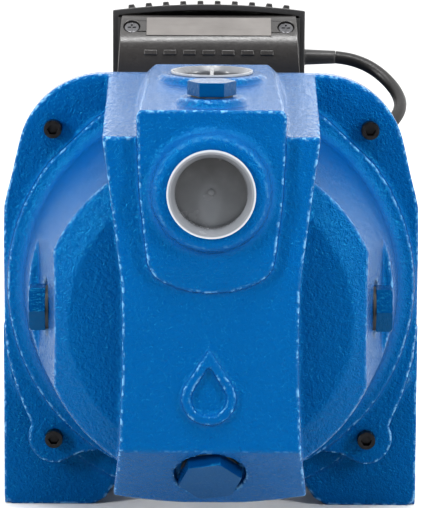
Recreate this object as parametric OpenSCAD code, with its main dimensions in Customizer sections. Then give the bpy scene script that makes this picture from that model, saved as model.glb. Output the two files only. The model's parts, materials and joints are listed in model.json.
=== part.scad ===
// Self-priming jet pump with a cast-iron casing and a fan-cooled motor.
// The origin is midway between the two foot holes, on the base plane.
// The suction port looks along -Y, the motor lies along +Y, and +Z is up.

/* [Pump] */
// Height of the shaft above the base
shaft_h = 105; // [100:1:115]
// Half the distance between casing screws
screw_half = 71; // [69:0.5:73]
// Height of the suction port above the shaft
suction_up = 60.5; // [56:0.5:62]
// Distance from the flange face forward to the suction face
suction_out = 122; // [120:1:124]
// Distance from the flange face forward to the discharge axis
discharge_out = 35; // [32:1:40]
// Height of the discharge face above the shaft
discharge_up = 100.5; // [99:0.5:103]
// Radius of the two ports, plain bores that stand for G1 threads
port_r = 16.2; // [15.2:0.1:16.4]

/* [Motor] */
// Radius of the motor frame over its tube
frame_r = 60; // [58:1:62]
// Height of the cooling fins
fin_h = 9; // [6:1:11]
// Number of cooling fins
fin_count = 24; // [16:4:32]
// Radius of the shaft
shaft_r = 8.5; // [8:0.5:9]

/* [Feet] */
// Distance between the two foot holes
foot_pitch = 150; // [140:2:156]
// Radius of the foot holes
foot_hole_r = 4.75; // [4:0.25:5.5]

/* [Cable] */
// Radius of the mains cable
cable_r = 3; // [2.8:0.1:3.5]

/* [Hidden] */
$fn = 64;

// Places along the shaft, measured backwards from the flange face
foot_y = 45;
bracket_y = 9;
frame_y0 = 50;
frame_y1 = 200;
fan_cover_y1 = 256;
drum_front = 87;
rim_front = 82;
pocket_front = 30;
hump_front = 112;
block_front = 116;
plug_out = 98;
filling_up = 98.2;
side_plug_out = 55;
side_seat_x = 70.4;
drain_tilt = 47.6;
drain_out = 100;
drain_down = 64;
drain_side = 0.03;
box_y0 = 76;
box_y1 = 138;
box_x = -1.5;
box_half = 45;
box_z0 = 66;
box_top = 119.4;
crown_r = 350;
crown_slope = 8;
rib_pitch = 8.1;
gland_y = 95;
gland_z = 92.6;
seat_r = port_r + 0.4;
seat_depth = 8.6;

blue = [0.0, 0.38, 0.70];
black = [0.12, 0.12, 0.12];
steel = [0.7, 0.7, 0.72];

function arc(cx, cy, r, a0, a1, n) =
    [for (i = [0:n]) let (a = a0 + (a1 - a0) * i / n) [cx + r * cos(a), cy + r * sin(a)]];
function mirrored(points) = [for (i = [len(points) - 1:-1:0]) [-points[i][0], points[i][1]]];

// Puts children in the pump's own frame: the shaft axis at the flange face
module pump() {
    translate([0, -foot_y, shaft_h]) children();
}

// A cylinder along the shaft from y0 to y1
module along(r, y0, y1, sides = 64) {
    translate([0, y0, 0]) rotate([-90, 0, 0]) cylinder(r = r, h = y1 - y0, $fn = sides);
}

module ring(r_in, r_out, y0, y1) {
    difference() {
        along(r_out, y0, y1);
        along(r_in, y0 - 1, y1 + 1);
    }
}

// A solid of revolution about the shaft from points [radius, y]
module turned(points) {
    rotate([-90, 0, 0]) rotate_extrude() polygon([for (p = points) [p[0], p[1]]]);
}

// An outline in the X-Z plane, given depth from y0 to y1
module plate(y0, y1) {
    translate([0, y1, 0]) rotate([90, 0, 0]) linear_extrude(y1 - y0) children();
}

// A side view in the Y-Z plane, given width from -half to half
module profile(half) {
    translate([-half, 0, 0]) rotate([90, 0, 90]) linear_extrude(2 * half) children();
}

module at_screws() {
    for (x = [-1, 1], z = [-1, 1]) translate([x * screw_half, 0, z * screw_half]) children();
}

/* ---- casing ---- */

flange_half = concat(
    [[0, 95.6]],
    arc(48, 56.4, 39.2, 90, 20, 12),
    [[86, 66], [87.8, 58.5], [89.7, 50], [92, 41.5], [93.4, 35], [93.6, 20], [93.5, -20], [92, -34],
     [87.5, -50]],
    arc(70.6, -71, 12.3, 28, -100, 8),
    [[58.6, -78.1]],
    arc(0, 0, 92.3, -57, -90, 8));

module flange_outline() {
    polygon(concat(flange_half, mirrored(flange_half)));
}

fillet_r = 7;
shoulder_r = 91.8;
shoulder_t = 3.8;
drum_skin = concat(
    [[0, 1], [shoulder_r, 1], [shoulder_r, 0.6 - shoulder_t], [shoulder_r - 0.6, -shoulder_t]],
    [for (i = [0:6]) let (a = 82 * i / 6)
        [shoulder_r - 1.2 - fillet_r * sin(a), -shoulder_t - fillet_r * (1 - cos(a))]],
    [[73.5, -rim_front], [61, -drum_front], [0, -drum_front]]);

module drum() {
    intersection() {
        difference() {
            turned(drum_skin);
            // The two side pockets, each behind a drafted flat
            for (side = [-1, 1]) mirror([side < 0 ? 1 : 0, 0, 0])
                translate([0, 0, -60]) linear_extrude(120)
                    polygon([[76, -pocket_front], [110, -pocket_front], [110, -95], [65, -95]]);
            // A flat on the shoulder beside each upper screw
            for (a = [46.5, 133.5]) rotate([0, -a, 0])
                translate([shoulder_r - 1.1, -20, -30]) cube([20, 20, 60]);
        }
        plate(-100, 2) flange_outline();
    }
}

hump_half = [[0, 98], [46.6, 98], [45.4, 82], [41.1, 50], [37.4, 20], [37, 5], [37.2, -20],
             [38.5, -51], [41.6, -76], [42, -90], [0, -90]];

module hump() {
    intersection() {
        plate(-hump_front - 2, 2) polygon(concat(hump_half, mirrored(hump_half)));
        profile(60) polygon([[2, 95.6], [-hump_front, 82.8], [-hump_front, -51],
                             [-86, -79.5], [-60, -84], [2, -84]]);
        translate([0, 0, 118]) along(198, -130, 10, 360);
    }
}

block_half = concat([[0, 103], [22, 103], [28.4, 97], [31.3, 92], [30, 60], [27.2, 35]],
                    [for (i = [0:6]) [26.6 * cos(i * 14), 31 - 13.7 * sin(i * 14)]]);

module raised_block() {
    intersection() {
        plate(-block_front - 2, 2) polygon(concat(block_half, mirrored(block_half)));
        profile(40) polygon([[2, 99.9], [-block_front, 94.6], [-block_front, 30],
                             [-hump_front - 2, 14], [2, 14]]);
    }
}

// Puts children on the drain axis, with +Z pointing out of the casing
module at_drain() {
    translate([drain_side, -drain_out, -drain_down]) rotate([180 - drain_tilt, 0, 0]) children();
}

module side_plug_axis(side) {
    translate([side * side_seat_x, -side_plug_out, 0]) rotate([0, side * 90, 0]) children();
}

// Side of the suction boss as [radius, distance behind its face]
boss_skin = [[0, 0], [21.6, 0], [23.3, 0.6], [24.5, 1.8], [25.2, 3.4], [25.8, 4.6], [27.2, 5.6],
             [29.4, 6.2], [29.4, 30], [0, 30]];

module casing_outside() {
    plate(0, bracket_y) flange_outline();
    drum();
    hump();
    raised_block();
    translate([0, 0, suction_up]) turned([for (p = boss_skin) [p[0], p[1] - suction_out]]);
    translate([0, -discharge_out, 0]) {
        translate([0, 0, 70]) cylinder(r = 23.6, h = discharge_up - 71.2);
        translate([0, 0, discharge_up - 1.2]) cylinder(r1 = 23.6, r2 = 22.4, h = 1.2);
    }
    translate([0, -plug_out, 80]) cylinder(r = 14.8, h = filling_up - 81.2);
    translate([0, -plug_out, filling_up - 1.2]) cylinder(r1 = 14.8, r2 = 13.6, h = 1.2);
}

// A port from its face at z = 0 downwards: the cap's seat, a small cone, the bore and a flared end
module port_bore(depth) {
    rotate_extrude() polygon([[0, 1], [seat_r, 1], [seat_r, -seat_depth], [port_r, -seat_depth - 0.5],
        [port_r, -depth], [port_r + 1.2, -depth - 1.2], [0, -depth - 1.2]]);
}

module casing_inside() {
    turned([[0, bracket_y + 1], [79, bracket_y + 1], [79, -12], [66, -24], [59, -78], [0, -78]]);
    // Suction chamber in the nose, above the cavity that drains
    translate([-28, -104, -26]) cube([56, 20, 104]);
    profile(30) polygon([[-76, -33], [-105, -33], [-105, -46.5], [-81, -72], [-76, -72]]);
    along(14.05, -90, -70);
    translate([0, -suction_out, suction_up]) rotate([90, 0, 0]) port_bore(suction_out - 105);
    translate([0, -discharge_out, discharge_up]) port_bore(discharge_up - 58);
    translate([0, -plug_out, 70]) cylinder(r = 6.6, h = 40);
    at_drain() translate([0, 0, -40]) cylinder(r = 8.4, h = 60);
    at_drain() translate([0, 0, -4]) cylinder(r = 15.2, h = 30);
    for (side = [-1, 1]) {
        side_plug_axis(side) translate([0, 0, -20]) cylinder(r = 6.6, h = 30);
        side_plug_axis(side) cylinder(r = 12.6, h = 30);
    }
    at_screws() along(2.8, -30, 20);
    at_screws() along(5.2, -30, 0);
}

module pump_casing() {
    color(blue) pump() difference() {
        casing_outside();
        casing_inside();
    }
}

/* ---- bracket ---- */

foot_half = 94.5;
foot_inner = 52;
foot_len = 88;
foot_t = 9;
ring_bottom = 12 - shaft_h;
foot_plate_half = [[0, -20], [foot_half, -20], [foot_half, -shaft_h + 3], [foot_half - 3, -shaft_h],
                   [foot_inner + 1.5, -shaft_h], [foot_inner - 4, -shaft_h + 3],
                   [foot_inner - 10, -shaft_h + 12], [0, -shaft_h + 12]];

ring_half = concat(
    [[0, 93.6]],
    arc(48, 56.4, 37.2, 90, 20, 12),
    [[84, 66], [85.8, 58.5], [87.7, 50], [90, 41.5], [91.4, 35], [91.6, ring_bottom], [0, ring_bottom]]);

module motor_bracket() {
    color(blue) pump() difference() {
        union() {
            intersection() {
                along(102, bracket_y, bracket_y + 11);
                plate(0, 40) polygon(concat(ring_half, mirrored(ring_half)));
            }
            plate(bracket_y + 1.5, bracket_y + 11)
                polygon(concat(foot_plate_half, mirrored(foot_plate_half)));
            at_screws() along(9, bracket_y, bracket_y + 16);
            along(78.8, 3, bracket_y + 1);
            turned([[0, 19], [66, 19], [62, frame_y0 - 8], [0, frame_y0 - 8]]);
            ring(54.9, 62, frame_y0 - 9, frame_y0);
            for (side = [-1, 1]) {
                translate([side > 0 ? foot_inner : -foot_half, bracket_y + 3, -shaft_h])
                    cube([foot_half - foot_inner, foot_len - bracket_y - 3, foot_t]);
                // A web from the back plate down to the end of each foot
                translate([side * (foot_inner + 4) - 3.5, 0, 0]) rotate([90, 0, 90])
                    linear_extrude(7) polygon([[bracket_y + 9, -shaft_h + 4], [foot_len - 8, -shaft_h + 4],
                        [foot_len - 10, -shaft_h + 16], [bracket_y + 9, -30]]);
            }
        }
        // Lantern space behind the seal plate, with the bearing seat left standing
        ring(26, 56, 19, frame_y0 - 8.5);
        along(14, 2, 12);
        along(11, 5, 60);
        along(20.02, 30, 60);
        // Side windows of the lantern
        for (side = [-1, 1]) translate([side * 50, 31, 0]) cube([60, 12, 60], center = true);
        ring(75.6, 80, 5, 7.6);
        at_screws() along(2.52, 5, 40);
        for (side = [-1, 1])
            translate([side * foot_pitch / 2, foot_y, -shaft_h - 1]) cylinder(r = foot_hole_r, h = 30);
        at_tie_rods() along(2.55, 30, 60);
    }
}

module casing_screws() {
    color(black) pump() at_screws() difference() {
        union() {
            along(4, -5, 0);
            along(2.48, -1, 24);
        }
        translate([0, -2, 0]) rotate([90, 0, 0]) cylinder(r = 2.5, h = 5, $fn = 6);
    }
}

module o_ring(r, y, wire) {
    rotate([-90, 0, 0]) translate([0, 0, y]) rotate_extrude() translate([r, 0]) circle(r = wire, $fn = 20);
}

module casing_o_ring() {
    color(black) pump() o_ring(77.3, 6.3, 1.25);
}

/* ---- hydraulics ---- */

module ejector_nozzle() {
    color("ivory") pump() difference() {
        turned([[0, -103.9], [11, -103.9], [11, -100], [8, -99], [5.5, -90], [0, -90]]);
        turned([[0, -101], [7, -101], [3.5, -89], [0, -89]]);
    }
}

module ejector_venturi() {
    color("ivory") pump() difference() {
        turned([[0, -87], [14, -87], [14, -74], [12.4, -70], [12.4, -23], [0, -23]]);
        turned([[0, -88], [10, -88], [5.5, -76], [5.5, -60], [10.4, -22], [0, -22]]);
        ring(12.6, 15, -82.5, -79.5);
    }
}

module venturi_o_ring() {
    color(black) pump() o_ring(13.3, -81, 0.7);
}

module diffuser() {
    color("ivory") pump() {
        difference() {
            union() {
                turned([[0, -26], [18, -26], [57, -23.5], [61, -19], [74, -14], [74, 3],
                        [71, 3], [71, -11.2], [62, -16.6], [58, -18.4], [16, -20], [0, -20]]);
                for (i = [0:7]) rotate([0, i * 45, 0]) translate([64, -16, -1.2]) cube([8, 14, 2.4]);
            }
            along(12.6, -40, 10);
        }
    }
}

module impeller() {
    color("goldenrod") pump() difference() {
        union() {
            along(60, -6, -3);
            ring(15.5, 60, -16, -13.5);
            ring(13.4, 15.6, -19.2, -13.5);
            along(13, -8, 0);
            for (i = [0:6]) rotate([0, i * 360 / 7, 0])
                intersection() {
                    translate([-20, -14, 12]) rotate([-90, 0, 0])
                        difference() {
                            cylinder(r = 46, h = 10);
                            translate([0, 0, -1]) cylinder(r = 43.6, h = 12);
                        }
                    translate([4, -15, -60]) cube([60, 12, 60]);
                    along(59, -20, 0);
                }
        }
        along(8.53, -30, 5);
        translate([-1.6, -9, 5]) cube([3.2, 10, 5.6]);
    }
}

module impeller_key() {
    color(steel) pump() translate([-1.5, -7.5, 6.1]) cube([3, 7, 4.2]);
}

module impeller_nut() {
    color(steel) pump() difference() {
        translate([0, -8.2, 0]) rotate([90, 0, 0]) cylinder(r = 9.5, h = 6, $fn = 6);
        along(5.02, -20, 0);
    }
}

/* ---- rotating parts ---- */

module shaft() {
    color(steel) pump() difference() {
        union() {
            along(5, -17, -7.9);
            along(shaft_r - 0.02, -8, 30);
            along(shaft_r, 30, 238);
        }
        translate([-1.52, -7.6, 6]) cube([3.04, 7.2, 5]);
    }
}

module rotor_core() {
    color("silver") pump() ring(shaft_r + 0.01, 31.5, 88, 158);
}

module rotor_end_rings() {
    color("lightgray") pump() {
        ring(18, 30, 80, 88);
        ring(18, 30, 158, 166);
    }
}

module seal_head() {
    color(black) pump() ring(shaft_r + 0.01, 13, 2.4, 5.2);
}

module seal_spring() {
    color(steel) pump() ring(9.6, 12, 0.2, 2.3);
}

module seal_seat() {
    color("dimgray") pump() ring(9.2, 13.98, 5.4, 11.9);
}

module slinger() {
    color(black) pump() ring(shaft_r + 0.01, 10.4, 22, 26);
}

module bearing_outer(y0) {
    difference() {
        ring(16.4, 20, y0, y0 + 12);
        o_ring_cut(14.25, y0 + 6, 3.4);
    }
}

module bearing_inner(y0) {
    difference() {
        ring(shaft_r + 0.01, 12.2, y0, y0 + 12);
        o_ring_cut(14.25, y0 + 6, 3.4);
    }
}

module o_ring_cut(r, y, wire) {
    rotate([-90, 0, 0]) translate([0, 0, y]) rotate_extrude() translate([r, 0]) circle(r = wire, $fn = 32);
}

module bearing_balls(y0) {
    translate([0, y0 + 6, 0]) {
        for (i = [0:7]) rotate([0, i * 45, 0]) translate([14.25, 0, 0]) sphere(r = 3.3, $fn = 32);
        difference() {
            ring(13.2, 15.3, -1.2, 1.2);
            for (i = [0:7]) rotate([0, i * 45, 0]) translate([14.25, 0, 0]) sphere(r = 3.25, $fn = 32);
        }
    }
}

front_bearing_y = 30;
rear_bearing_y = 190;

module front_bearing_outer() { color(steel) pump() bearing_outer(front_bearing_y); }
module front_bearing_balls() { color(steel) pump() bearing_balls(front_bearing_y); }
module front_bearing_inner() { color(steel) pump() bearing_inner(front_bearing_y); }
module rear_bearing_outer() { color(steel) pump() bearing_outer(rear_bearing_y); }
module rear_bearing_balls() { color(steel) pump() bearing_balls(rear_bearing_y); }
module rear_bearing_inner() { color(steel) pump() bearing_inner(rear_bearing_y); }

module wave_washer() {
    color(steel) pump() ring(16.8, 19.8, 202.1, 202.9);
}

/* ---- motor ---- */

module at_tie_rods() {
    for (i = [0:3]) rotate([0, 45 + i * 90, 0]) translate([65, 0, 0]) children();
}

module motor_frame() {
    color(blue) pump() difference() {
        union() {
            along(frame_r, frame_y0, frame_y1);
            for (i = [0:fin_count - 1]) rotate([0, (i + 0.5) * 360 / fin_count, 0])
                translate([frame_r - 2, frame_y0 + 8, -1.2])
                    cube([fin_h + 2, frame_y1 - frame_y0 - 16, 2.4]);
            translate([box_x - 42, 78, 50]) cube([84, 58, box_z0 - 50]);
        }
        along(55, frame_y0 - 1, frame_y1 + 1);
        at_tie_rods() along(3, 40, 210);
        translate([-12, 95, 40]) cube([24, 20, 40]);
        translate([-60, 70, box_z0]) cube([120, 72, 20]);
    }
}

module stator_core() {
    color("gray") pump() difference() {
        ring(32.1, 54.98, 88, 158);
        for (i = [0:23]) rotate([0, i * 15, 0]) translate([34, 80, -1.6]) cube([12, 90, 3.2]);
    }
}

module stator_windings() {
    color([0.72, 0.4, 0.2]) pump() {
        ring(34.4, 50, 70, 87.9);
        ring(34.4, 50, 158.1, 176);
    }
}

// Puts children at the four screws of the fan cover, with +X pointing outwards
module at_cover_screws() {
    for (i = [0:3]) rotate([0, i * 90, 0]) translate([0, frame_y1, 0]) children();
}

module rear_end_shield() {
    color(blue) pump() difference() {
        union() {
            along(62, frame_y1, frame_y1 + 7);
            along(54.9, frame_y1 - 6, frame_y1 + 1);
            along(25, 189, frame_y1 + 7);
            at_tie_rods() along(5.3, frame_y1, frame_y1 + 7);
            at_cover_screws() translate([60, 0, -5]) cube([10.3, 9.5, 10]);
        }
        ring(27, 50, 180, frame_y1 + 2);
        along(20.02, 180, 203);
        along(10, 180, 230);
        at_tie_rods() along(2.55, 180, 230);
        at_cover_screws() translate([57, 6, 0]) rotate([0, 90, 0]) cylinder(r = 1.55, h = 30);
    }
}

module tie_rods() {
    color(steel) pump() at_tie_rods() {
        along(2.5, 38, frame_y1 + 9);
        translate([0, frame_y1 + 12.1, 0]) rotate([90, 0, 0]) cylinder(r = 4.6, h = 5, $fn = 6);
    }
}

module fan() {
    color(black) pump() difference() {
        union() {
            along(15, 213, 229);
            along(48, 213, 215.5);
            for (i = [0:8]) rotate([0, i * 40, 0]) translate([12, 214, -1]) cube([38, 15, 2]);
        }
        along(shaft_r + 0.01, 200, 240);
    }
}

module fan_cover() {
    color(black) pump() difference() {
        turned([[0, 202.5], [73, 202.5], [73, 244], [70, 251], [64, fan_cover_y1], [0, fan_cover_y1]]);
        at_cover_screws() translate([68, 6, 0]) rotate([0, 90, 0]) cylinder(r = 1.6, h = 10);
        turned([[0, 200], [70.6, 200], [70.6, 243], [68, 249], [63, 253.2], [0, 253.2]]);
        for (row = [0:3]) for (i = [0:11]) rotate([0, i * 30 + row * 15, 0])
            translate([20 + row * 11.5, 250, -1.6 - row * 1.2]) cube([8.5, 10, 3.2 + row * 2.4]);
    }
}

module fan_cover_screws() {
    color(steel) pump() at_cover_screws() translate([58, 6, 0]) rotate([0, 90, 0]) {
        translate([0, 0, 15.05]) cylinder(r = 3.4, h = 2);
        cylinder(r = 1.5, h = 16);
    }
}

/* ---- port caps and plugs ---- */

module port_cap(rim_r, rim_t) {
    difference() {
        union() {
            cylinder(r = rim_r, h = rim_t);
            translate([0, 0, -8]) cylinder(r = seat_r - 0.06, h = 9);
        }
        translate([0, 0, -6.4]) cylinder(r = 15, h = 9);
        translate([0, 0, rim_t - 2.8]) cylinder(r1 = 15, r2 = 17, h = 3);
    }
    translate([0, 0, -7]) cylinder(r = 1.3, h = 1.4);
}

module suction_cap() {
    color([0.8, 0.8, 0.82]) pump()
        translate([0, -suction_out - 0.1, suction_up]) rotate([90, 0, 0]) port_cap(18.5, 1.6);
}

module discharge_cap() {
    color([0.8, 0.8, 0.82]) pump()
        translate([0, -discharge_out, discharge_up + 0.1]) {
            port_cap(17.9, 0.9);
            translate([-0.8, -15.2, -7]) cube([1.6, 30.4, 7.2]);
        }
}

// A hexagon-head screw plug with its sealing face at z = 0
module screw_plug(across, head, thread_r, thread_l) {
    intersection() {
        cylinder(r = across / 2, h = head, $fn = 6);
        cylinder(r1 = across / 2 + head, r2 = across / 2 - 0.6, h = head);
    }
    translate([0, 0, -thread_l]) cylinder(r = thread_r, h = thread_l + 1);
}

module washer(r_in, r_out, t) {
    difference() {
        cylinder(r = r_out, h = t);
        translate([0, 0, -1]) cylinder(r = r_in, h = t + 2);
    }
}

module filling_plug() {
    color(blue) pump() translate([0, -plug_out, filling_up + 0.7]) screw_plug(20.5, 5.8, 6.5, 14);
}

module filling_plug_washer() {
    color(black) pump() translate([0, -plug_out, filling_up + 0.05]) washer(6.7, 8.8, 0.6);
}

module drain_plug() {
    color(blue) pump() at_drain() translate([0, 0, -2.4]) rotate([0, 0, 12]) screw_plug(27.4, 6, 8.3, 14);
}

module drain_plug_washer() {
    color(black) pump() at_drain() translate([0, 0, -3.95]) washer(8.5, 12.4, 1.5);
}

module side_plug(side) {
    side_plug_axis(side) translate([0, 0, 1.35]) rotate([0, 0, 90]) screw_plug(21.5, 7, 6.5, 11);
}

module left_plug() { color(blue) pump() side_plug(-1); }
module right_plug() { color(blue) pump() side_plug(1); }
module side_washer(side) {
    side_plug_axis(side) translate([0, 0, 0.05]) washer(6.7, 9.6, 1.25);
}

module left_plug_washer() { color(black) pump() side_washer(-1); }
module right_plug_washer() { color(black) pump() side_washer(1); }

/* ---- terminal box ---- */

// The crowned top of the box, raised by rise, which falls towards the back
module under_crown(rise) {
    translate([0, box_y0, box_top + rise]) rotate([-crown_slope, 0, 0])
        translate([0, 0, -crown_r]) along(crown_r, -20, 90, 1440);
}

module in_box() {
    pump() translate([box_x, 0, 0]) children();
}

module terminal_box() {
    color(black) in_box() difference() {
        union() {
            intersection() {
                under_crown(0);
                translate([-box_half, box_y0, box_z0]) cube([2 * box_half, box_y1 - box_y0, 60]);
            }
            // Ribs that run front to back over the top
            intersection() {
                under_crown(1.9);
                for (i = [0:9]) translate([(i - 4.5) * rib_pitch - 1.4, box_y0 + 5, 104])
                    cube([2.8, box_y1 - box_y0 - 9, 30]);
            }
        }
        intersection() {
            under_crown(-3);
            translate([3 - box_half, box_y0 - 1, box_z0 + 3])
                cube([2 * box_half - 6, box_y1 - box_y0 - 2, 60]);
        }
        translate([-12, 95, 60]) cube([24, 20, 12]);
        translate([38, gland_y, gland_z]) rotate([0, 90, 0]) cylinder(r = 4.6, h = 20);
    }
}

// Side view of the cover, with the flat for the rating plate between its last long pair of points
cover_side = [[box_y0 - 1.2, 73], [58, 73], [57, 80], [57, 92], [57.6, 97.7], [58.9, 102.4],
              [60.9, 105.7], [71.1, 113.6], [box_y0 - 1.2, 114.4]];
plate_tilt = 37.8;
cover_screw_x = 35.9;

module cover_body(half_low, half_high, inset) {
    intersection() {
        profile(half_low) polygon([for (p = cover_side) [p[0] + inset, p[1] - (p[1] > 90 ? inset : -inset)]]);
        plate(40, 90) polygon([[-half_low + inset, 60], [half_low - inset, 60],
                               [half_high - inset, 118], [-half_high + inset, 118]]);
    }
}

// Puts children on the two cover screws, with z = 0 on the sloping flat
module at_lid_screws() {
    for (side = [-1, 1]) translate([side * cover_screw_x, 66.3, 109.9]) rotate([plate_tilt, 0, 0]) children();
}

module terminal_cover() {
    color([0.25, 0.24, 0.24]) in_box() difference() {
        cover_body(44.3, 40.5, 0);
        translate([0, 0.01, 0]) cover_body(44.3, 40.5, 2.6);
        at_lid_screws() {
            translate([0, 0, -1.9]) cylinder(r = 3.9, h = 10);
            translate([0, 0, -8]) cylinder(r = 1.9, h = 10);
        }
    }
}

module cover_gasket() {
    color(black) in_box() translate([0, box_y0, 0]) difference() {
        translate([-42.6, -1.1, 71]) cube([85.2, 1, 42]);
        translate([-39.6, -3, 74]) cube([79.2, 5, 36]);
    }
}

module rating_plate() {
    color([0.6, 0.6, 0.58]) in_box() translate([0, 66, 109.65]) rotate([plate_tilt, 0, 0])
        translate([-29, -5.9, 0.03]) cube([58, 11.8, 0.45]);
}

module cover_screws() {
    color(steel) in_box() at_lid_screws() difference() {
        union() {
            translate([0, 0, -1.85]) cylinder(r = 3.3, h = 1.2);
            translate([0, 0, -6]) cylinder(r = 1.8, h = 5);
        }
        for (a = [0, 90]) rotate([0, 0, a]) translate([-2, -0.4, -1.2]) cube([4, 0.8, 2]);
    }
}

module terminal_block() {
    color("white") in_box() difference() {
        translate([-22, 84, 74]) cube([44, 16, 14]);
        for (i = [0:3]) translate([-16 + i * 10.6, 92, 80]) cylinder(r = 2.5, h = 20);
    }
}

module run_capacitor() {
    color("white") in_box() translate([-36, 118, 91]) rotate([0, 90, 0]) cylinder(r = 13, h = 62);
}

/* ---- mains cable ---- */

relief_l = 23.5;

module strain_relief() {
    color(black) pump() translate([34.5, gland_y, gland_z]) rotate([0, 90, 0]) {
        cylinder(r = 4.5, h = 9.5);
        translate([0, 0, 0.5]) cylinder(r1 = 4.1, r2 = 3.1, h = relief_l);
    }
}

// Route of the cable from the strain relief to the coil, in the part's own frame
cord_route = [
    [58.5, 50, 197.6], [62.8, 49.9, 197.2], [67, 49.4, 196.4], [71, 48.6, 195.1], [74.8, 47.3, 193.5],
    [78.2, 45.7, 191.4], [81.2, 43.7, 189.2], [83.8, 41.2, 186.8], [85.9, 38.2, 184.5], [87.5, 34.8, 182.2],
    [88.5, 31.1, 180], [88.7, 27.3, 177.9], [88.1, 23.5, 175.9], [86.8, 20, 173.9], [84.9, 16.8, 171.8],
    [82.5, 14, 169.4], [79.9, 11.7, 166.7], [77.4, 10, 163.6], [75.1, 8.8, 160.1], [73.2, 8, 156.3],
    [71.8, 7.4, 152.3], [71, 7, 148], [70.6, 6.4, 142], [70.6, 5.4, 134], [71.6, 4, 124], [73.8, 2.8, 112],
    [76.8, 2.4, 100], [79.8, 3, 87], [82.5, 5, 70], [84.7, 9.2, 53], [86.4, 15.8, 37.5], [87.8, 24.8, 24.8],
    [88.6, 34.8, 16.4], [88.9, 45, 11.9], [89, 54.5, 8.7], [88.9, 63, 5.9], [88.7, 71, 3.9],
    [88.4, 80, 3.1], [88, 90, 3.1]];
// Route of the cable from the coil to the plug's sleeve
lead_route = [[44, 150.7, 9.2], [37, 150.7, 9.1], [30, 150.7, 8.6], [22, 150.6, 7.9], [14, 150.4, 7.8],
              [6, 150, 9.2], [-2, 149.4, 12.5], [-9, 148.6, 15.9], [-15, 148.1, 18], [-20, 148, 18.8]];
coil_c = [51.5, 112];
coil_mid_r = 33;
coil_h = 12.6;
coil_w = 18.8;

function unit(v) = v / norm(v);
function heading(route, i) = unit(route[min(i + 1, len(route) - 1)] - route[max(i - 1, 0)]);
function ring_at(route, i, sides) =
    let (t = heading(route, i), u = unit(cross(t, [0.13, 0.21, 0.97])), v = cross(t, u))
    [for (k = [0:sides - 1]) let (a = 360 * k / sides)
        route[i] + cable_r * (cos(a) * u + sin(a) * v)];

module tube(route) {
    sides = 8;
    rings = len(route);
    points = [for (i = [0:rings - 1]) each ring_at(route, i, sides)];
    walls = [for (i = [0:rings - 2], k = [0:sides - 1])
        let (a = i * sides + k, b = i * sides + (k + 1) % sides)
        each [[a, b, b + sides], [a, b + sides, a + sides]]];
    first = [[for (k = [sides - 1:-1:0]) k]];
    last = [[for (k = [0:sides - 1]) (rings - 1) * sides + k]];
    polyhedron(points, concat(first, walls, last));
}

module power_cord() { color(black) tube(cord_route); }
module plug_lead() { color(black) tube(lead_route); }

module cord_coil() {
    color(black) translate([coil_c[0], coil_c[1], 0]) rotate_extrude()
        translate([coil_mid_r - coil_w / 2, 0.1]) square([coil_w, coil_h]);
}

module cord_tie() {
    color("white") translate([coil_c[0], coil_c[1] + coil_mid_r, 0]) difference() {
        translate([-3, -coil_w / 2 - 1.2, 0]) cube([6, coil_w + 2.4, coil_h + 1.3]);
        translate([-4, -coil_w / 2 - 0.1, -1]) cube([8, coil_w + 0.2, coil_h + 1.2]);
    }
}

module power_plug() {
    color(black) translate([-20.1, 148, 18.8]) rotate([0, -90, 0]) {
        cylinder(r1 = 3.6, r2 = 7, h = 24.5);
        translate([0, 0, 24]) cylinder(r1 = 10, r2 = 18.6, h = 24);
        translate([0, 0, 47.9]) cylinder(r = 18.6, h = 9);
        for (s = [-1, 1]) translate([0, s * 9.5, 56]) cylinder(r = 2.4, h = 19);
    }
}

pump_casing();
motor_bracket();
casing_screws();
casing_o_ring();
ejector_nozzle();
ejector_venturi();
venturi_o_ring();
diffuser();
suction_cap();
discharge_cap();
filling_plug();
filling_plug_washer();
drain_plug();
drain_plug_washer();
left_plug();
left_plug_washer();
right_plug();
right_plug_washer();
impeller();
impeller_key();
impeller_nut();
shaft();
rotor_core();
rotor_end_rings();
seal_head();
seal_spring();
seal_seat();
slinger();
front_bearing_outer();
front_bearing_balls();
front_bearing_inner();
rear_bearing_outer();
rear_bearing_balls();
rear_bearing_inner();
wave_washer();
motor_frame();
stator_core();
stator_windings();
rear_end_shield();
tie_rods();
fan();
fan_cover();
fan_cover_screws();
terminal_box();
terminal_cover();
cover_gasket();
rating_plate();
cover_screws();
terminal_block();
run_capacitor();
strain_relief();
power_cord();
cord_coil();
cord_tie();
plug_lead();
power_plug();
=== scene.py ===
import bmesh
import bpy
import json
import math
from mathutils import Matrix, Vector


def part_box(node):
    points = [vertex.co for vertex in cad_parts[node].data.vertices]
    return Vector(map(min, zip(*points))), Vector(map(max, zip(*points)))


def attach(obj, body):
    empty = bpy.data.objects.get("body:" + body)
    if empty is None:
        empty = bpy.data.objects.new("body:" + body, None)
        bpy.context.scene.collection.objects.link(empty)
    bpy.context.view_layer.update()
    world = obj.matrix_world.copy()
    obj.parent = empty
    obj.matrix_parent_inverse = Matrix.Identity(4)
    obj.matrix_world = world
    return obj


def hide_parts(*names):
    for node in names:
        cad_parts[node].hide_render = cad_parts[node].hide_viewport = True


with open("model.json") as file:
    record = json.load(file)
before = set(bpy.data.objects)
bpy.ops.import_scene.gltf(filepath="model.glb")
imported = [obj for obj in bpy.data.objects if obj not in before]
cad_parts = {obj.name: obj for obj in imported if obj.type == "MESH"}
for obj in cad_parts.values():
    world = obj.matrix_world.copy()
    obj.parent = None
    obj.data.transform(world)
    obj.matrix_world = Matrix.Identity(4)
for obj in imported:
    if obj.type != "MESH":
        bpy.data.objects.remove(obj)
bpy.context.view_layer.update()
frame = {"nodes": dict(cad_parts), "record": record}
MM = 0.001
nodes = frame["nodes"]


# ---------------------------------------------------------------- camera

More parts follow.
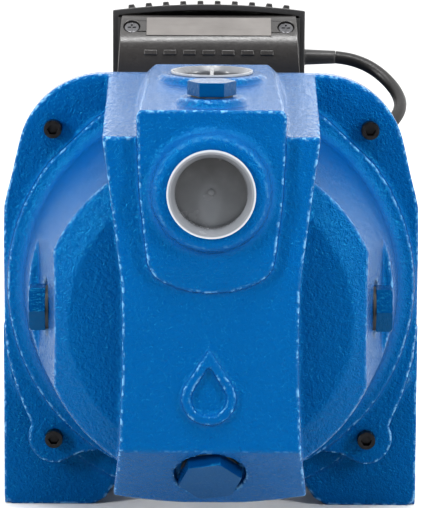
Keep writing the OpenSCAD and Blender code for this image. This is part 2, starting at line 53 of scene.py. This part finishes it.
def make_camera():
    yaw, pitch, roll = math.radians(0.009), math.radians(9.974), math.radians(0.28)
    forward = Vector((math.sin(yaw) * math.cos(pitch), math.cos(yaw) * math.cos(pitch), -math.sin(pitch)))
    right = Vector((math.cos(yaw), -math.sin(yaw), 0))
    up = right.cross(forward)
    r = right * math.cos(roll) + up * math.sin(roll)
    u = up * math.cos(roll) - right * math.sin(roll)
    cam = bpy.data.cameras.new("camera")
    cam.sensor_width = 36
    cam.lens = 235.24
    cam.clip_start, cam.clip_end = 0.05, 60
    obj = bpy.data.objects.new("camera", cam)
    bpy.context.scene.collection.objects.link(obj)
    obj.matrix_world = Matrix((
        (r.x, u.x, -forward.x, 0.0),
        (r.y, u.y, -forward.y, -1.5199),
        (r.z, u.z, -forward.z, 0.3784),
        (0, 0, 0, 1)))
    bpy.context.scene.camera = obj


make_camera()


# ---------------------------------------------------------------- node helpers

def node_material(name):
    m = bpy.data.materials.new(name)
    m.use_nodes = True
    t = m.node_tree
    return m, t, t.nodes["Principled BSDF"]


def add(t, kind, **values):
    n = t.nodes.new(kind)
    for k, v in values.items():
        setattr(n, k, v)
    return n


def noise(t, scale, detail=3.0, rough=0.55, vector=None, distortion=0.0):
    n = add(t, "ShaderNodeTexNoise")
    n.inputs["Scale"].default_value = scale
    n.inputs["Detail"].default_value = detail
    n.inputs["Roughness"].default_value = rough
    n.inputs["Distortion"].default_value = distortion
    if vector is not None:
        t.links.new(vector, n.inputs["Vector"])
    return n


def ramp(t, source, stops, out="Fac"):
    """Colour ramp: stops are (position, (r, g, b))."""
    n = add(t, "ShaderNodeValToRGB")
    e = n.color_ramp.elements
    while len(e) < len(stops):
        e.new(0.5)
    for el, (p, c) in zip(e, stops):
        el.position = p
        el.color = (*c, 1) if len(c) == 3 else c
    t.links.new(source, n.inputs["Fac"])
    return n


def remap(t, source, a, b, c, d):
    n = add(t, "ShaderNodeMapRange")
    for k, v in zip(("From Min", "From Max", "To Min", "To Max"), (a, b, c, d)):
        n.inputs[k].default_value = v
    t.links.new(source, n.inputs["Value"])
    return n


def mixcol(t, fac, a, b, blend="MIX"):
    n = add(t, "ShaderNodeMix", data_type="RGBA", blend_type=blend)
    if isinstance(fac, float):
        n.inputs["Factor"].default_value = fac
    else:
        t.links.new(fac, n.inputs["Factor"])
    for socket, v in ((n.inputs[6], a), (n.inputs[7], b)):
        if isinstance(v, tuple):
            socket.default_value = (*v, 1)
        else:
            t.links.new(v, socket)
    return n


def bump(t, height, strength, distance, normal=None):
    n = add(t, "ShaderNodeBump")
    n.inputs["Strength"].default_value = strength
    n.inputs["Distance"].default_value = distance
    t.links.new(height, n.inputs["Height"])
    if normal is not None:
        t.links.new(normal, n.inputs["Normal"])
    return n


def coords(t):
    return add(t, "ShaderNodeTexCoord").outputs["Object"]


def math_node(t, op, a, b=None):
    n = add(t, "ShaderNodeMath", operation=op)
    for i, v in enumerate((a, b)):
        if v is None:
            continue
        if isinstance(v, (int, float)):
            n.inputs[i].default_value = v
        else:
            t.links.new(v, n.inputs[i])
    return n.outputs[0]


# ---------------------------------------------------------------- materials

def enamel(name, colour, shade, wrinkle, gloss, glint):
    """Gloss enamel on a rough casting: orange peel, pits, small runs, and a painted highlight, a lighter blue base
    colour, along the outer edges.
    """
    m, t, p = node_material(name)
    c = coords(t)
    peel = noise(t, 900, 3, 0.6, c, 0.5)
    lumps = noise(t, 400, 2.5, 0.55, c)
    waves = noise(t, 60, 2, 0.5, c)
    broad = noise(t, 11, 3, 0.6, c)
    tone = mixcol(t, remap(t, broad.outputs["Fac"], 0.35, 0.68, 0, 1).outputs[0], shade, colour)
    pits = add(t, "ShaderNodeTexVoronoi")
    pits.inputs["Scale"].default_value = 260
    t.links.new(c, pits.inputs["Vector"])
    dots = remap(t, pits.outputs["Distance"], 0.0, 0.2, 0.0, 1.0)
    dark = mixcol(t, remap(t, dots.outputs[0], 0, 1, 0.3, 0).outputs[0], tone.outputs[2],
                  tuple(x * 0.45 for x in colour))
    # painted highlight: convex edges, found by pointiness and broken into dots by noise, get a lighter blue base
    # colour that stands in for glints of the lamps; glint sets its strength, 0 turns it off
    ridge = remap(t, add(t, "ShaderNodeNewGeometry").outputs["Pointiness"], 0.511, 0.538, 0, glint)
    painted_light_mark = math_node(t, "MULTIPLY", ridge.outputs[0], remap(t, lumps.outputs["Fac"], 0.5, 0.6, 0.04, 1).outputs[0])
    painted_edge_highlight = mixcol(t, painted_light_mark, dark.outputs[2], (0.22, 0.42, 0.62))
    t.links.new(painted_edge_highlight.outputs[2], p.inputs["Base Color"])
    rough = remap(t, lumps.outputs["Fac"], 0.3, 0.7, gloss - 0.05, gloss + 0.07)
    t.links.new(rough.outputs[0], p.inputs["Roughness"])
    b1 = bump(t, waves.outputs["Fac"], wrinkle, 0.0005)
    b2 = bump(t, lumps.outputs["Fac"], wrinkle, 0.0007, b1.outputs[0])
    b3 = bump(t, peel.outputs["Fac"], wrinkle, 0.0007, b2.outputs[0])
    b4 = bump(t, dots.outputs[0], 0.5 * wrinkle, 0.0002, b3.outputs[0])
    t.links.new(b4.outputs[0], p.inputs["Normal"])
    p.inputs["Specular IOR Level"].default_value = 0.42
    p.inputs["Specular Tint"].default_value = (0.04, 0.7, 1.0, 1)
    return m


def plastic(name, colour, shade, rough, grain, depth, clear=0.0, specular=0.5):
    """Moulded plastic with a spark-eroded grain."""
    m, t, p = node_material(name)
    c = coords(t)
    fine = noise(t, grain, 3, 0.6, c)
    broad = noise(t, 25, 3, 0.6, c)
    tone = mixcol(t, remap(t, broad.outputs["Fac"], 0.35, 0.65, 0, 1).outputs[0], shade, colour)
    t.links.new(tone.outputs[2], p.inputs["Base Color"])
    r = remap(t, fine.outputs["Fac"], 0.3, 0.7, rough - 0.06, rough + 0.08)
    t.links.new(r.outputs[0], p.inputs["Roughness"])
    b = bump(t, fine.outputs["Fac"], 0.5, depth)
    b2 = bump(t, broad.outputs["Fac"], 0.3, 0.0003, b.outputs[0])
    t.links.new(b2.outputs[0], p.inputs["Normal"])
    p.inputs["Specular IOR Level"].default_value = specular
    p.inputs["Transmission Weight"].default_value = clear
    return m


def cap_film(name, centre, axes, depth_axis, face, down):
    """Milky polyethylene cap with painted light: a painted highlight round its outer edge, painted shade darkening the
    wall of its recess with depth, and the sunken disc painted near black for the unlit bore behind it, with a painted
    shadow from one side to the other.
    """
    m, t, p = node_material(name)
    s = add(t, "ShaderNodeSeparateXYZ")
    t.links.new(coords(t), s.inputs[0])
    du = math_node(t, "SUBTRACT", s.outputs[axes[0]], centre[0])
    dv = math_node(t, "SUBTRACT", s.outputs[axes[1]], centre[1])
    radius = math_node(t, "SQRT", math_node(t, "ADD", math_node(t, "MULTIPLY", du, du),
                                            math_node(t, "MULTIPLY", dv, dv)))
    sunk = math_node(t, "MULTIPLY", math_node(t, "SUBTRACT", s.outputs[depth_axis], face), down)
    # disc: the sunken centre of the cap, painted dark below as if the unlit bore showed through it
    disc = math_node(t, "MULTIPLY", remap(t, radius, 0.0142, 0.0150, 1, 0).outputs[0],
                     remap(t, sunk, 0.0035, 0.0058, 0, 1).outputs[0])
    wall = remap(t, sunk, 0.0008, 0.0062, 0, 1)
    cloud = noise(t, 60, 3, 0.55, coords(t))
    # painted shadow: the sunken disc is near black and darkens further from one side to the other, as if shaded by the
    # raised edge
    disc_shadow_gradient = remap(t, dv, -0.013, 0.013, 0, 1)
    painted_light_mark = mixcol(t, disc_shadow_gradient.outputs[0], (0.060, 0.066, 0.074), (0.006, 0.0063, 0.0072))
    # painted shade: the wall of the recess darkens the deeper it goes
    recess_wall_shade = mixcol(t, wall.outputs[0], (0.12, 0.127, 0.14), (0.05, 0.053, 0.058))
    # painted highlight: a lighter band round the cap's outer edge
    edge_highlight_band = mixcol(t, remap(t, radius, 0.0175, 0.0181, 0, 1).outputs[0], recess_wall_shade.outputs[2], (0.34, 0.36, 0.39))
    tone = mixcol(t, disc, edge_highlight_band.outputs[2], painted_light_mark.outputs[2])
    soft = mixcol(t, remap(t, cloud.outputs["Fac"], 0.3, 0.7, 0.0, 0.16).outputs[0], tone.outputs[2],
                  (0.2, 0.208, 0.224))
    t.links.new(soft.outputs[2], p.inputs["Base Color"])
    r = remap(t, cloud.outputs["Fac"], 0.3, 0.7, 0.2, 0.3)
    t.links.new(r.outputs[0], p.inputs["Roughness"])
    b = bump(t, cloud.outputs["Fac"], 0.25, 0.0002)
    t.links.new(b.outputs[0], p.inputs["Normal"])
    p.inputs["Subsurface Weight"].default_value = 0.15
    p.inputs["Subsurface Radius"].default_value = (0.002, 0.002, 0.002)
    return m


def metal(name, colour, shade, rough, grain=300, stretch=(1, 1, 1), metallic=1.0):
    """Turned, stamped or cast metal: fine directional grain with duller patches."""
    m, t, p = node_material(name)
    c = coords(t)
    mapping = add(t, "ShaderNodeMapping")
    mapping.inputs["Scale"].default_value = stretch
    t.links.new(c, mapping.inputs["Vector"])
    lines = noise(t, grain, 3, 0.6, mapping.outputs[0])
    broad = noise(t, 40, 3, 0.6, c)
    tone = mixcol(t, remap(t, broad.outputs["Fac"], 0.35, 0.65, 0, 1).outputs[0], shade, colour)
    t.links.new(tone.outputs[2], p.inputs["Base Color"])
    r = remap(t, lines.outputs["Fac"], 0.3, 0.7, rough - 0.08, rough + 0.1)
    t.links.new(r.outputs[0], p.inputs["Roughness"])
    b = bump(t, lines.outputs["Fac"], 0.35, 0.00012)
    t.links.new(b.outputs[0], p.inputs["Normal"])
    p.inputs["Metallic"].default_value = metallic
    return m


BLUE, BLUE_SHADE = (0.0, 0.0535, 0.184), (0.0, 0.0485, 0.168)
MATERIALS = {
    "casting_paint": enamel("fin_enamel", BLUE, BLUE_SHADE, 0.6, 0.18, 0.0),
    # painted shade: the plugs carry the same blue paint as the casting, and this darker blue stands in for the shade
    # they sit in
    "plug_paint": enamel("plug_enamel", (0.0, 0.034, 0.118), (0.0, 0.030, 0.105), 0.3, 0.18, 0.0),
    "black_steel": metal("black_oxide_steel", (0.028, 0.028, 0.03), (0.018, 0.018, 0.019), 0.36),
    "bright_steel": metal("zinc_plated_steel", (0.62, 0.62, 0.63), (0.5, 0.5, 0.51), 0.3),
    "seal_rubber": plastic("nitrile_rubber", (0.022, 0.022, 0.022), (0.014, 0.014, 0.014), 0.6, 900, 0.0001),
    "ivory_plastic": plastic("filled_plastic", (0.74, 0.7, 0.58), (0.66, 0.61, 0.48), 0.45, 700, 0.0001),
    # the suction cap's colour carries a painted highlight, painted recess shade and a painted shadow on its sunken
    # disc
    "cap_plastic": cap_film("cap_polyethylene", (0.0, 0.1655), ("X", "Z"), "Y", -0.1687, 1),
    "impeller_brass": metal("cast_brass", (0.72, 0.52, 0.25), (0.58, 0.4, 0.18), 0.34),
    "lamination_steel": metal("laminations", (0.34, 0.34, 0.35), (0.24, 0.24, 0.25), 0.42, 900, (0.05, 1, 0.05)),
    "cast_aluminium": metal("cast_aluminium", (0.7, 0.7, 0.71), (0.6, 0.6, 0.62), 0.42, 220),
    "seal_carbon": plastic("lapped_carbon", (0.05, 0.05, 0.055), (0.035, 0.035, 0.038), 0.3, 1200, 0.00003),
    "copper": metal("varnished_copper", (0.62, 0.26, 0.11), (0.45, 0.17, 0.07), 0.35, 900, (1, 0.08, 1), 0.85),
    "black_plastic": plastic("black_moulding", (0.017, 0.0165, 0.0165), (0.012, 0.0115, 0.0115), 0.42, 900, 0.00012),
    "grey_plastic": plastic("dark_grey_moulding", (0.019, 0.0172, 0.0165), (0.014, 0.0128, 0.0124), 0.34, 1000, 0.0001,
                            specular=0.62),
    "fan_cover_paint": plastic("satin_black_paint", (0.022, 0.022, 0.022), (0.016, 0.016, 0.016), 0.34, 500, 0.0001),
    "plate_foil": metal("brushed_foil", (0.15, 0.142, 0.136), (0.12, 0.113, 0.108), 0.4, 900, (0.06, 1, 1), 0.6),
    "white_plastic": plastic("white_moulding", (0.8, 0.8, 0.77), (0.72, 0.72, 0.68), 0.4, 800, 0.00006),
    "cable_rubber": plastic("cable_sheath", (0.011, 0.0105, 0.0105), (0.008, 0.0076, 0.0076), 0.42, 1000, 0.00008,
                            specular=0.35),
}


# ---------------------------------------------------------------- finishing of the CAD nodes

SLOTS = {s["node"]: s["material_slot"] for s in frame["record"]["subparts"]}
HARD_EDGES = {
    "terminal_box": 0.5, "terminal_cover": 0.45, "cover_gasket": 0.15, "rating_plate": 0.12, "cover_screws": 0.2,
    "casing_screws": 0.35, "suction_cap": 0.25, "discharge_cap": 0.25, "filling_plug": 0.5, "drain_plug": 0.5,
    "left_plug": 0.5, "right_plug": 0.5, "fan_cover": 0.3, "fan_cover_screws": 0.25, "fan": 0.25,
    "rear_end_shield": 0.8, "motor_frame": 0.5, "tie_rods": 0.35, "impeller": 0.3, "strain_relief": 0.25,
    "cord_tie": 0.3, "power_plug": 0.6, "run_capacitor": 0.6, "terminal_block": 0.3, "diffuser": 0.3,
}


def soften(obj, width_mm):
    """Joins the split corners of an imported mesh and rounds its hard edges."""
    weld = obj.modifiers.new("weld", "WELD")
    weld.merge_threshold = 1e-6
    b = obj.modifiers.new("bevel", "BEVEL")
    b.width = width_mm * MM
    b.segments = 2
    b.limit_method = "ANGLE"
    b.angle_limit = math.radians(38)
    b.use_clamp_overlap = True
    b.harden_normals = False
    n = obj.modifiers.new("normals", "WEIGHTED_NORMAL")
    n.keep_sharp = False


for name, obj in nodes.items():
    obj.data.materials.clear()
    obj.data.materials.append(MATERIALS[SLOTS[name]])
    if name in HARD_EDGES:
        soften(obj, HARD_EDGES[name])
# glint 0.5: the casting enamel carries the painted edge highlight, the fin enamel above has none
CAST_ENAMEL = enamel("casting_enamel", BLUE, BLUE_SHADE, 0.85, 0.15, 0.5)
# painted shade: the zinc-plated cover screws get a dark colour that stands in for the deep recesses they sit in
nodes["cover_screws"].data.materials[0] = metal("zinc_screw_recess_shade", (0.12, 0.12, 0.125), (0.08, 0.08, 0.085), 0.3)
# the discharge cap gets the same painted highlight, painted recess shade and painted disc shadow
nodes["discharge_cap"].data.materials[0] = cap_film(
    "top_cap_polyethylene", (0.0, -0.080), ("X", "Y"), "Z", 0.2065, -1)


# ---------------------------------------------------------------- mains cable

CABLE_R = 3.0
CORD_ROUTE = [
    (58.5, 50, 197.6), (62.8, 49.9, 197.2), (67, 49.4, 196.4), (71, 48.6, 195.1), (74.8, 47.3, 193.5),
    (78.2, 45.7, 191.4), (81.2, 43.7, 189.2), (83.8, 41.2, 186.8), (85.9, 38.2, 184.5), (87.5, 34.8, 182.2),
    (88.5, 31.1, 180), (88.7, 27.3, 177.9), (88.1, 23.5, 175.9), (86.8, 20, 173.9), (84.9, 16.8, 171.8),
    (82.5, 14, 169.4), (79.9, 11.7, 166.7), (77.4, 10, 163.6), (75.1, 8.8, 160.1), (73.2, 8, 156.3),
    (71.8, 7.4, 152.3), (71, 7, 148), (70.6, 6.4, 142), (70.6, 5.4, 134), (71.6, 4, 124), (73.8, 2.8, 112),
    (76.8, 2.4, 100), (79.8, 3, 87), (82.5, 5, 70), (84.7, 9.2, 53), (86.4, 15.8, 37.5), (87.8, 24.8, 24.8),
    (88.6, 34.8, 16.4), (88.9, 45, 11.9), (89, 54.5, 8.7), (88.9, 63, 5.9), (88.7, 71, 3.9),
    (88.4, 80, 3.1), (88, 90, 3.1)]
LEAD_ROUTE = [
    (44, 150.7, 9.2), (37, 150.7, 9.1), (30, 150.7, 8.6), (22, 150.6, 7.9), (14, 150.4, 7.8), (6, 150, 9.2),
    (-2, 149.4, 12.5), (-9, 148.6, 15.9), (-15, 148.1, 18), (-20, 148, 18.8)]
COIL_CENTRE = (51.5, 112)


def eased(x, a, b):
    s = min(1.0, max(0.0, (x - a) / (b - a)))
    return s * s * (3 - 2 * s)


def coil_points():
    """Five and a quarter turns: three side by side on the floor, then back outwards on top of them."""
    pts = []
    for a in range(-16, 1889, 12):
        r = 42.6 - 3.6 * eased(a, -29, 10) - 6 * eased(a, 280, 380) - 6 * eased(a, 640, 740)
        r += 6 * eased(a, 1240, 1340) + 6 * eased(a, 1600, 1700)
        z = 3.1 + 6.15 * eased(a, 945, 1035)
        w = math.radians(a)
        pts.append((COIL_CENTRE[0] + r * math.cos(w), COIL_CENTRE[1] + r * math.sin(w), z))
    return pts


def catmull(points, step_mm):
    """A smooth dense line through the points."""
    p = [Vector(q) for q in points]
    p = [p[0] * 2 - p[1]] + p + [p[-1] * 2 - p[-2]]
    line = []
    for i in range(1, len(p) - 2):
        a, b, c, d = p[i - 1:i + 3]
        n = max(2, round((c - b).length / step_mm))
        ta = (c - a) / max(1e-9, ((c - b).length + (b - a).length)) * (c - b).length
        tb = (d - b) / max(1e-9, ((d - c).length + (c - b).length)) * (c - b).length
        for k in range(n):
            s = k / n
            h = (2 * s**3 - 3 * s**2 + 1, s**3 - 2 * s**2 + s, -2 * s**3 + 3 * s**2, s**3 - s**2)
            line.append(b * h[0] + ta * h[1] + c * h[2] + tb * h[3])
    line.append(p[-2])
    return line


def relaxed(line, rounds, keep):
    """Evens out the bends, with the two ends held."""
    for _ in range(rounds):
        line = [line[0]] + [
            line[i] * (1 - keep) + (line[i - 1] + line[i + 1]) * (keep / 2) for i in range(1, len(line) - 1)
        ] + [line[-1]]
    return line


def make_cable():
    line = catmull(CORD_ROUTE + coil_points() + LEAD_ROUTE, 3.5)
    line = relaxed(line, 4, 0.5)
    curve = bpy.data.curves.new("mains_cable", "CURVE")
    curve.dimensions = "3D"
    curve.bevel_depth = CABLE_R * MM
    curve.bevel_resolution = 5
    curve.use_fill_caps = True
    spline = curve.splines.new("POLY")
    spline.points.add(len(line) - 1)
    for q, v in zip(spline.points, line):
        q.co = (*(v * MM), 1)
    spline.use_smooth = True
    cable = bpy.data.objects.new("mains_cable", curve)
    bpy.context.scene.collection.objects.link(cable)
    curve.materials.append(MATERIALS["cable_rubber"])
    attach(cable, "frame")
    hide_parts("power_cord", "cord_coil", "plug_lead")


make_cable()


# ---------------------------------------------------------------- cast iron: casing and bracket

def copied(node, name):
    """A fresh mesh object with the node's vertices, its split corners joined."""
    bm = bmesh.new()
    bm.from_mesh(nodes[node].data)
    bmesh.ops.remove_doubles(bm, verts=bm.verts, dist=1e-6)
    mesh = bpy.data.meshes.new(name)
    bm.to_mesh(mesh)
    bm.free()
    obj = bpy.data.objects.new(name, mesh)
    bpy.context.scene.collection.objects.link(obj)
    return obj


def drop_outline(radius, tip):
    """Outline of a water drop round the centre of its round end: an arc, then straight sides to the tip."""
    lean = math.asin(radius / tip)
    steps = 40
    pts = [(0.0, tip)]
    for i in range(steps + 1):
        a = lean - (math.pi + 2 * lean) * i / steps
        pts.append((radius * math.cos(a), radius * math.sin(a)))
    return pts


def raised_emblem(centre, radius, tip, stroke, floor, front):
    """Drop-shaped ring standing on the upright front face of the hump."""
    inner = drop_outline(radius - stroke, tip * (radius - stroke) / radius)
    outer = drop_outline(radius, tip)
    bm = bmesh.new()
    rings = [[bm.verts.new((centre[0] + x, y, centre[1] + z)) for x, z in line]
             for line, y in ((outer, floor), (outer, front), (inner, front), (inner, floor))]
    n = len(outer)
    for a, b in zip(rings, rings[1:] + rings[:1]):
        for i in range(n):
            bm.faces.new((a[i], a[(i + 1) % n], b[(i + 1) % n], b[i]))
    bmesh.ops.recalc_face_normals(bm, faces=bm.faces)
    mesh = bpy.data.meshes.new("emblem")
    bm.to_mesh(mesh)
    bm.free()
    obj = bpy.data.objects.new("emblem", mesh)
    bpy.context.scene.collection.objects.link(obj)
    return obj


def apply_all(obj):
    dg = bpy.context.evaluated_depsgraph_get()
    mesh = bpy.data.meshes.new_from_object(obj.evaluated_get(dg))
    obj.modifiers.clear()
    old = obj.data
    obj.data = mesh
    bpy.data.meshes.remove(old)


def joined(first, others):
    bm = bmesh.new()
    bm.from_mesh(first.data)
    for o in others:
        bm.from_mesh(o.data)
        data = o.data
        bpy.data.objects.remove(o)
        bpy.data.meshes.remove(data)
    bm.to_mesh(first.data)
    bm.free()


def cast_iron(node, name, extras, voxel_mm, rounds, waviness):
    obj = copied(node, name)
    joined(obj, extras)
    m = obj.modifiers.new("remesh", "REMESH")
    m.mode = "VOXEL"
    m.voxel_size = voxel_mm * MM
    m.adaptivity = 0
    m.use_smooth_shade = True
    s = obj.modifiers.new("smooth", "SMOOTH")
    s.factor = 0.5
    s.iterations = rounds
    if waviness:
        tex = bpy.data.textures.new(name + "_waves", "CLOUDS")
        tex.noise_scale = 0.012
        tex.noise_depth = 1
        d = obj.modifiers.new("waves", "DISPLACE")
        d.texture = tex
        d.texture_coords = "LOCAL"
        d.strength = waviness * MM
        d.mid_level = 0.5
        tex2 = bpy.data.textures.new(name + "_grit", "CLOUDS")
        tex2.noise_scale = 0.0035
        tex2.noise_depth = 1
        d2 = obj.modifiers.new("grit", "DISPLACE")
        d2.texture = tex2
        d2.texture_coords = "LOCAL"
        d2.strength = 0.4 * waviness * MM
        d2.mid_level = 0.5
    apply_all(obj)
    obj.data.materials.clear()
    obj.data.materials.append(CAST_ENAMEL)
    for p in obj.data.polygons:
        p.use_smooth = True
    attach(obj, "frame")
    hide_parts(node)
    return obj


HUMP_FACE_Y = -157.0
emblem = raised_emblem((-0.6 * MM, 77.2 * MM), 11.5 * MM, 21.5 * MM, 4.0 * MM,
                       (HUMP_FACE_Y + 2) * MM, (HUMP_FACE_Y - 2.2) * MM)
casing = cast_iron("pump_casing", "casing_casting", [emblem], 0.8, 7, 0.15)
bracket = cast_iron("motor_bracket", "bracket_casting", [], 0.9, 6, 0.15)
print("FACES", len(casing.data.polygons), len(bracket.data.polygons))


# ---------------------------------------------------------------- raised dashes on the terminal cover

def raised_dashes():
    """A row of short raised bars moulded into the sloping front of the terminal cover."""
    cover = nodes["terminal_cover"]
    lo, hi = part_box("terminal_cover")
    mid_x = (lo[0] + hi[0]) / 2
    z = lo[2] + 0.62 * (hi[2] - lo[2])
    inverse = cover.matrix_world.inverted()
    bm = bmesh.new()
    for k in range(7):
        x = mid_x + (k - 3) * 9.0 * MM
        start = inverse @ Vector((x, lo[1] - 0.05, z))
        hit, place, normal, _ = cover.ray_cast(start, inverse.to_3x3() @ Vector((0, 1, 0)))
        if not hit:
            continue
        normal = (cover.matrix_world.to_3x3() @ normal).normalized()
        place = cover.matrix_world @ place
        along = Vector((1, 0, 0))
        up = normal.cross(along).normalized()
        frame3 = Matrix((along, up, normal)).transposed().to_4x4()
        made = bmesh.ops.create_cube(bm, size=1.0)["verts"]
        bmesh.ops.scale(bm, vec=(6.2 * MM, 2.6 * MM, 1.1 * MM), verts=made)
        bmesh.ops.transform(bm, matrix=Matrix.Translation(place) @ frame3, verts=made)
    mesh = bpy.data.meshes.new("cover_dashes")
    bm.to_mesh(mesh)
    bm.free()
    obj = bpy.data.objects.new("cover_dashes", mesh)
    bpy.context.scene.collection.objects.link(obj)
    mesh.materials.append(MATERIALS["grey_plastic"])
    b = obj.modifiers.new("bevel", "BEVEL")
    b.width = 0.5 * MM
    b.segments = 3
    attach(obj, "terminal_cover")


raised_dashes()


# ---------------------------------------------------------------- floor, light

def make_stage():
    m, t, p = node_material("studio_floor")
    n = noise(t, 3, 2, 0.5, coords(t))
    tone = mixcol(t, n.outputs["Fac"], (0.60, 0.60, 0.60), (0.63, 0.63, 0.63))
    t.links.new(tone.outputs[2], p.inputs["Base Color"])
    p.inputs["Roughness"].default_value = 0.6
    p.inputs["Specular IOR Level"].default_value = 0.2
    mesh = bpy.data.meshes.new("studio_floor")
    s = 12.0
    mesh.from_pydata([(-s, -s, 0), (s, -s, 0), (s, s, 0), (-s, s, 0)], [], [(0, 1, 2, 3)])
    floor = bpy.data.objects.new("studio_floor", mesh)
    bpy.context.scene.collection.objects.link(floor)
    mesh.materials.append(m)


def make_world():
    w = bpy.data.worlds.new("studio")
    bpy.context.scene.world = w
    w.use_nodes = True
    t = w.node_tree
    bg = t.nodes["Background"]
    g = add(t, "ShaderNodeTexCoord")
    s = add(t, "ShaderNodeSeparateXYZ")
    t.links.new(g.outputs["Generated"], s.inputs[0])
    r = ramp(t, remap(t, s.outputs["Y"], -1, 1, 0, 1).outputs[0],
             [(0.0, (0.05, 0.05, 0.05)), (0.3, (0.28, 0.28, 0.28)), (0.5, (0.62, 0.62, 0.62)),
              (0.7, (0.6, 0.6, 0.6)), (1.0, (0.64, 0.64, 0.64))])
    t.links.new(r.outputs[0], bg.inputs["Color"])
    bg.inputs["Strength"].default_value = 3.0


def softbox(name, place, target, size, power):
    light = bpy.data.lights.new(name, "AREA")
    light.shape = "RECTANGLE"
    light.size, light.size_y = size
    light.energy = power
    obj = bpy.data.objects.new(name, light)
    bpy.context.scene.collection.objects.link(obj)
    obj.location = place
    obj.rotation_euler = (Vector(target) - Vector(place)).to_track_quat("-Z", "Y").to_euler()


make_stage()
make_world()
softbox("top_light", (0.0, -0.5, 1.4), (0, -0.1, 0.1), (0.7, 0.25), 15)
softbox("left_light", (-0.95, -0.8, 0.6), (0, -0.1, 0.1), (0.12, 0.55), 14)
softbox("right_light", (0.95, -0.75, 0.6), (0, -0.1, 0.1), (0.12, 0.55), 12)

bpy.context.scene.view_settings.view_transform = "Standard"
bpy.context.scene.view_settings.look = "Medium High Contrast"
